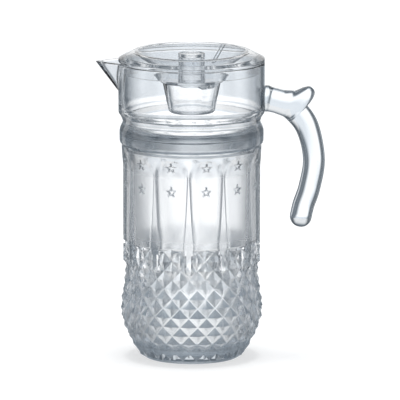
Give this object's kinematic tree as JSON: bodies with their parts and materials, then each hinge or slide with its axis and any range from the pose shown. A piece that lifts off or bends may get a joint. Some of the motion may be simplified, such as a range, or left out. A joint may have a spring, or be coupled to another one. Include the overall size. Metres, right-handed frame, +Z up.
{
  "type": "acrylic jug",
  "caption": "Clear acrylic jug with a pinched pouring lip, hook handle with thumb bump, fluted sides over a diamond-cut belly, and a plug lid with a knob and a hanging cup.",
  "frame": {"origin": "middle of the flat base, on the jug's axis", "axes": "+Z up along the jug's axis, +X towards the handle, -X towards the spout"},
  "size_m": [0.1804, 0.1156, 0.2443],
  "materials": {
    "body_acrylic": "clear colourless acrylic, moulded, polished outside",
    "handle_acrylic": "clear colourless acrylic, solid, polished",
    "lid_acrylic": "clear colourless acrylic, thin moulding, polished"
  },
  "bodies": {
    "jug": {"jug_body": "body_acrylic", "handle": "handle_acrylic"},
    "lid": {"lid_cover": "lid_acrylic", "lid_knob": "lid_acrylic"},
    "cup": {"ice_cup": "lid_acrylic"}
  },
  "joints": [
    {"name": "lid_lift", "type": "slide", "parent": "jug", "child": "lid", "axis": [0, 0, 1], "range_m": [0, 0.06]},
    {"name": "cup_turn", "type": "hinge", "parent": "lid", "child": "cup", "pos_m": [0, 0, 0.22], "axis": [0, 0, 1], "range_deg": [0, 60]}
  ]
}
